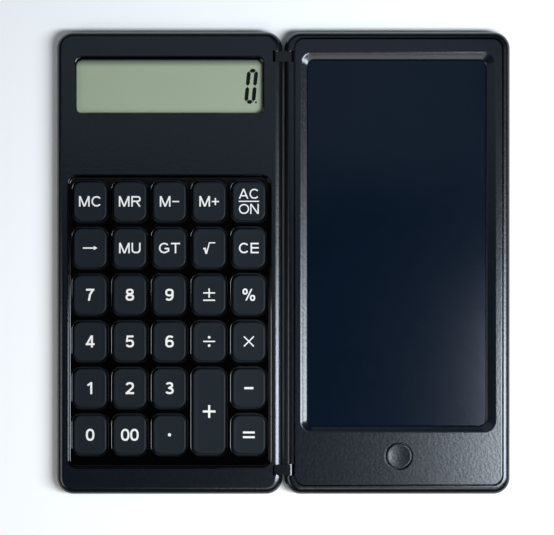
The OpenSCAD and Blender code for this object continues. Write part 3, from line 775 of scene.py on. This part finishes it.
def keypad_tray(key_nodes):
    """Glossy black tray: a sloping rim, and a hole with rounded edges for every key."""
    low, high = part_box("keypad_grid")
    opening = (low.x + TRAY_MARGIN_X, low.y + TRAY_MARGIN_Y,
               high.x - TRAY_MARGIN_X, high.y - TRAY_MARGIN_Y, TRAY_RADIUS)
    bottom = low.z + TRAY_BOTTOM_LIFT
    profile = [(-TRAY_FLANGE, bottom), (-TRAY_FLANGE, TRAY_PLATE), (0, TRAY_PLATE)]
    profile += [(across * MM, RIM_TOP - drop * MM) for across, drop in RIM_CREST]
    foot = fillet(FOOT_START, TRAY_TOP + FOOT_RISE, RIM_WIDTH, TRAY_TOP, FOOT_STEPS)
    for i, (across, _) in enumerate(foot):
        profile.append((across, TRAY_TOP + FOOT_RISE * (1 - i / FOOT_STEPS) ** 2))
    profile.append((RIM_WIDTH + FOOT_FLAT, TRAY_TOP))
    bm = bmesh.new()
    rings = loft(bm, opening, profile)
    tops, bottoms = [rings[-1]], [rings[0]]
    for node in key_nodes:
        hole = node_rect(node, KEY_RADIUS + KEY_HOLE_GAP, KEY_FLANGE - KEY_HOLE_GAP)
        wall = [(0, bottom), *fillet(0, TRAY_TOP - CELL_EDGE, -CELL_EDGE, TRAY_TOP)]
        wall.append((-CELL_EDGE - CELL_FLAT, TRAY_TOP))
        cell = loft(bm, hole, wall)
        tops.append(cell[-1])
        bottoms.append(cell[0])
    fill_between(bm, tops)
    fill_between(bm, bottoms)
    look = LOOKS["gloss_black"]
    new_piece("keypad_tray", bm, "calculator", look, ["keypad_grid"])


# ---- Display. Its frame's edge is (inset, drop) points in mm, its wall (share, drop) ----

VIEW_LEFT = 0.65 * MM
VIEW_RIGHT = 0.9 * MM
VIEW_TOP = 1.4 * MM
VIEW_BOTTOM = 0.12 * MM
VIEW_RADIUS = 2.3 * MM
DIGIT_LEFT = 6.5 * MM
DIGIT_BOTTOM = 3.7 * MM
LCD_DIGIT_W = 4.05 * MM
LCD_DIGIT_H = 12.7 * MM
LCD_SLANT = math.tan(math.radians(5.5))
SEGMENT = 1.4 * MM
SEGMENT_GAP = 0.15 * MM
POINT_R = 0.38 * MM
POINT_GAP = 0.25 * MM
POINT_LIFT = 0.75
SURROUND_RADIUS = 2.5 * MM
SURROUND_EDGE_WIDTH = 0.12 * MM
SURROUND_EDGE = [(0, 0.12), (0.04, 0.03), (0.12, 0)]
SURROUND_WALL = [
    (0.92, 0.02), (0.78, 0.09), (0.6, 0.22), (0.42, 0.4), (0.25, 0.62), (0.1, 0.88), (0.0, 1.1),
    (0.0, 1.2),
]


def view_rect():
    """The visible part of the display inside its frame."""
    x0, y0, x1, y1, _ = node_rect("display_frame", 0)
    return (x0 + VIEW_LEFT, y0 + VIEW_BOTTOM, x1 - VIEW_RIGHT, y1 - VIEW_TOP, VIEW_RADIUS)


def display_frame():
    """Dark ring round the display: a rounded outer edge and a wall curving down to the window."""
    low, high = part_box("display_frame")
    outer, view = node_rect("display_frame", SURROUND_RADIUS), view_rect()
    edge = [(across * MM, high.z - drop * MM) for across, drop in SURROUND_EDGE]
    bm = bmesh.new()
    rings = loft(bm, outer, [(0, low.z), *edge])
    walls = rings[-1:]
    for share, drop in SURROUND_WALL:
        shape = mix_rects(view, inset(outer, SURROUND_EDGE_WIDTH), share)
        walls.append(add_ring(bm, outline(shape), high.z - drop * MM))
    for a, b in zip(walls, walls[1:]):
        join_rings(bm, a, b)
    join_rings(bm, walls[-1], rings[0])
    look = LOOKS["gloss_black"]
    new_piece("display_surround", bm, "calculator", look, ["display_frame"])


def segment(x0, y0, x1, y1):
    """One LCD segment with pointed ends, in the upright digit's own coordinates."""
    half = SEGMENT / 2
    length = math.hypot(x1 - x0, y1 - y0)
    ux, uy = (x1 - x0) / length, (y1 - y0) / length
    start, end = SEGMENT_GAP, length - SEGMENT_GAP
    shape = [
        (start, 0), (start + half, half), (end - half, half),
        (end, 0), (end - half, -half), (start + half, -half),
    ]
    return [(x0 + ux * a - uy * b, y0 + uy * a + ux * b) for a, b in shape]


def lcd_digit():
    """The zero and its point, printed dark on the front glass."""
    _, y0, x1, _, _ = view_rect()
    half = SEGMENT / 2
    left, right = half, LCD_DIGIT_W - half
    low, mid, high = half, LCD_DIGIT_H / 2, LCD_DIGIT_H - half
    shapes = [
        segment(left, low, right, low), segment(left, high, right, high),
        segment(left, low, left, mid), segment(left, mid, left, high),
        segment(right, low, right, mid), segment(right, mid, right, high),
        dot(LCD_DIGIT_W + POINT_GAP, half * POINT_LIFT, POINT_R),
    ]
    leaning = [[(x + y * LCD_SLANT, y) for x, y in shape] for shape in shapes]
    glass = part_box("lcd_glass")[1].z
    corner = (x1 - DIGIT_LEFT, y0 + DIGIT_BOTTOM)
    bm = bmesh.new()
    for shape in leaning:
        flat_solid(bm, [shape], corner, glass, INK_THICKNESS)
    look = Look("lcd_segment", (0.006, 0.007, 0.006), 0.5, Specular_IOR_Level=0.02)
    look.mottle(0.4 * MM, (0.005, 0.006, 0.005), (0.009, 0.01, 0.009))
    new_piece("lcd_digit", bm, "calculator", look.material)


# ---- Tablet. The panel's edge is (inset, drop) points in mm. The sloping border goes from the
# screen (share 0) to the panel's flat (share 1): a lip, a straight slope, then an eased end ----

PANEL_INSET = 0.15 * MM
PANEL_RADIUS = 3.6 * MM
PANEL_EDGE = [(0, 0.2), (0.06, 0.06), (0.2, 0), (0.3, 0)]
SCREEN_RADIUS = 2.2 * MM
BORDER_RADIUS = 4.3 * MM
BEVEL_LEFT = 2.9 * MM
BEVEL_RIGHT = 3.8 * MM
BEVEL_TOP = 3.35 * MM
BEVEL_BOTTOM = 2.6 * MM
FILM_BORDER = 2.05 * MM
LIP = 0.3 * MM
LIP_CURVE = [(0.0, 0), (0.01, 0.3), (0.03, 0.65), (0.06, 0.9)]
SLOPE_SHARES = (0.1, 0.2, 0.35, 0.5, 0.65)
SLOPE_RISE = 1.1
EASE_SHARES = (0.74, 0.81, 0.87, 0.92, 0.96, 1.0)
EASE_POWER = 1.9
BORDER_END = 1.06
HOLE_GAP = 0.5 * MM
HOLE_EDGE = 0.1 * MM
HOLE_FLAT = 0.2 * MM
BUTTON_FLANGE = 1.1 * MM
BUTTON_FLANGE_T = 0.5 * MM
BUTTON_EDGE = 0.2 * MM
BUTTON_RIM = 1.3 * MM
BUTTON_DISH = 0.14 * MM
BUTTON_DISH_POWER = 1.15
BUTTON_DISH_SHARES = (0.92, 0.84, 0.72, 0.58, 0.44, 0.3, 0.16)


def tablet_panel():
    """Panel with a soft-edged sloping border round the film and a hole for the button."""
    film_low, film_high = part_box("writing_film")
    top, film_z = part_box("tablet_bezel")[1].z, film_high.z
    outer = inset(node_rect("tablet_bezel", PANEL_RADIUS), PANEL_INSET)
    screen = (film_low.x + FILM_BORDER, film_low.y + FILM_BORDER,
              film_high.x - FILM_BORDER, film_high.y - FILM_BORDER, SCREEN_RADIUS)
    border = (screen[0] - BEVEL_LEFT, screen[1] - BEVEL_BOTTOM,
              screen[2] + BEVEL_RIGHT, screen[3] + BEVEL_TOP, BORDER_RADIUS)
    edge = [(across * MM, top - drop * MM) for across, drop in PANEL_EDGE]
    bm = bmesh.new()
    skirt = loft(bm, outer, [(0, film_z), *edge])
    drop = top - film_z - LIP
    straight_end = SLOPE_SHARES[-1]
    slope = [(share, film_z + LIP * part) for share, part in LIP_CURVE]
    for share in SLOPE_SHARES:
        slope.append((share, film_z + LIP + drop * share * SLOPE_RISE))
    for share in EASE_SHARES:
        ease = (1 - share) / (1 - straight_end)
        slope.append((share, top - drop * (1 - straight_end * SLOPE_RISE) * ease ** EASE_POWER))
    slope.append((BORDER_END, top))
    walls = [add_ring(bm, outline(mix_rects(screen, border, share)), z) for share, z in slope]
    for a, b in zip(walls, walls[1:]):
        join_rings(bm, a, b)
    button_low, button_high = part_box("erase_button")
    middle = (button_low + button_high) / 2
    radius = (button_high.x - button_low.x) / 2 - BUTTON_FLANGE + HOLE_GAP
    rim = fillet(0, top - HOLE_EDGE, -HOLE_EDGE, top, 3)
    hole = loft(bm, disc(middle, radius), [(0, film_z), *rim, (-HOLE_FLAT, top)])
    fill_between(bm, [skirt[-1], walls[-1], hole[-1]])
    fill_between(bm, [skirt[0], walls[0], hole[0]])
    new_piece("tablet_panel", bm, "tablet", PANEL, ["tablet_bezel"])


def erase_button():
    """Round button with a rounded rim and a dished top."""
    low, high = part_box("erase_button")
    middle = (low + high) / 2
    flange = (high.x - low.x) / 2
    step = low.z + BUTTON_FLANGE_T
    profile = [(0, low.z), (0, step), (BUTTON_FLANGE, step)]
    profile += fillet(BUTTON_FLANGE, high.z - BUTTON_EDGE, BUTTON_RIM, high.z)
    reach = flange - BUTTON_RIM
    for share in BUTTON_DISH_SHARES:
        sag = BUTTON_DISH * (1 - share ** 2) ** BUTTON_DISH_POWER
        profile.append((flange - reach * share, high.z - sag))
    bm = bmesh.new()
    rings = loft(bm, disc(middle, flange), profile)
    bm.faces.new(rings[0])
    bm.faces.new(rings[-1])
    new_piece("erase_button_cap", bm, "erase_button", PANEL, ["erase_button"])


# ---- Set: floor, light and camera ----


def stage_floor():
    """Plain pale floor."""
    half = 3.0
    corners = [(-half, -half, 0), (half, -half, 0), (half, half, 0), (-half, half, 0)]
    mesh = bpy.data.meshes.new("floor")
    mesh.from_pydata(corners, [], [(0, 1, 2, 3)])
    floor = bpy.data.objects.new("floor", mesh)
    bpy.context.scene.collection.objects.link(floor)
    look = Look("floor_paper", (0.9, 0.87, 0.83), 0.9)
    mesh.materials.append(look.material)
    floor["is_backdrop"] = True


def soft_light(name, x_range, y_range, height, radiance, color=(1, 1, 1)):
    """Level rectangular soft light over a part of the table."""
    (x0, x1), (y0, y1) = x_range, y_range
    data = bpy.data.lights.new(name, "AREA")
    data.shape = "RECTANGLE"
    data.size, data.size_y = x1 - x0, y1 - y0
    data.energy = radiance * math.pi * data.size * data.size_y
    data.color = color
    light = bpy.data.objects.new(name, data)
    bpy.context.scene.collection.objects.link(light)
    light.location = ((x0 + x1) / 2, (y0 + y1) / 2, height)


def surroundings():
    """Dark room, so that only the lights show in glossy surfaces; the camera sees white instead."""
    world = bpy.data.worlds.new("room")
    bpy.context.scene.world = world
    world.use_nodes = True
    nodes, links = world.node_tree.nodes, world.node_tree.links
    room = nodes["Background"]
    room.inputs["Color"].default_value = (0.55, 0.75, 1.0, 1)
    room.inputs["Strength"].default_value = 0.02
    backdrop = nodes.new("ShaderNodeBackground")
    backdrop.inputs["Color"].default_value = (1, 1, 1, 1)
    backdrop.inputs["Strength"].default_value = 1.0
    seen = nodes.new("ShaderNodeLightPath")
    mix = nodes.new("ShaderNodeMixShader")
    links.new(seen.outputs["Is Camera Ray"], mix.inputs["Fac"])
    links.new(room.outputs["Background"], mix.inputs[1])
    links.new(backdrop.outputs["Background"], mix.inputs[2])
    links.new(mix.outputs["Shader"], nodes["World Output"].inputs["Surface"])


VIEW_WIDTH = 201.0 * MM
VIEW_HEIGHT_ABOVE = 0.9
VIEW_OFFSET = (-2.33 * MM, -1.62 * MM)
SENSOR = 36.0


def camera():
    """Looks straight down on the open calculator."""
    low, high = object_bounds()
    data = bpy.data.cameras.new("camera")
    data.sensor_width = SENSOR
    data.lens = SENSOR * VIEW_HEIGHT_ABOVE / VIEW_WIDTH
    eye = bpy.data.objects.new("camera", data)
    bpy.context.scene.collection.objects.link(eye)
    middle = (Vector(low) + Vector(high)) / 2
    across, up = VIEW_OFFSET
    eye.location = (middle.x + across, middle.y + up, high[2] + VIEW_HEIGHT_ABOVE)
    bpy.context.scene.camera = eye


bpy.context.scene.view_settings.view_transform = "Standard"
dress_cad_nodes()
keys = [name for name in frame["bodies"] if name.startswith("key_")]
for key in keys:
    keycap(key)
key_membrane(keys)
button_dome()
keypad_tray(keys)
display_frame()
lcd_digit()
tablet_panel()
erase_button()
stage_floor()
soft_light("key_light", (0.135, 0.85), (-0.19, -0.026), height=0.53, radiance=24,
           color=(0.85, 0.94, 1.05))
soft_light("fill_light", (-0.6, 0.12), (0.05, 0.7), height=0.5, radiance=0.44,
           color=(0.75, 0.9, 1.0))
soft_light("edge_light", (-0.75, -0.4), (-0.5, -0.02), height=0.4, radiance=3.2)
soft_light("front_light", (-0.03, 0.35), (-0.43, -0.26), height=0.5, radiance=2.8)
surroundings()
camera()
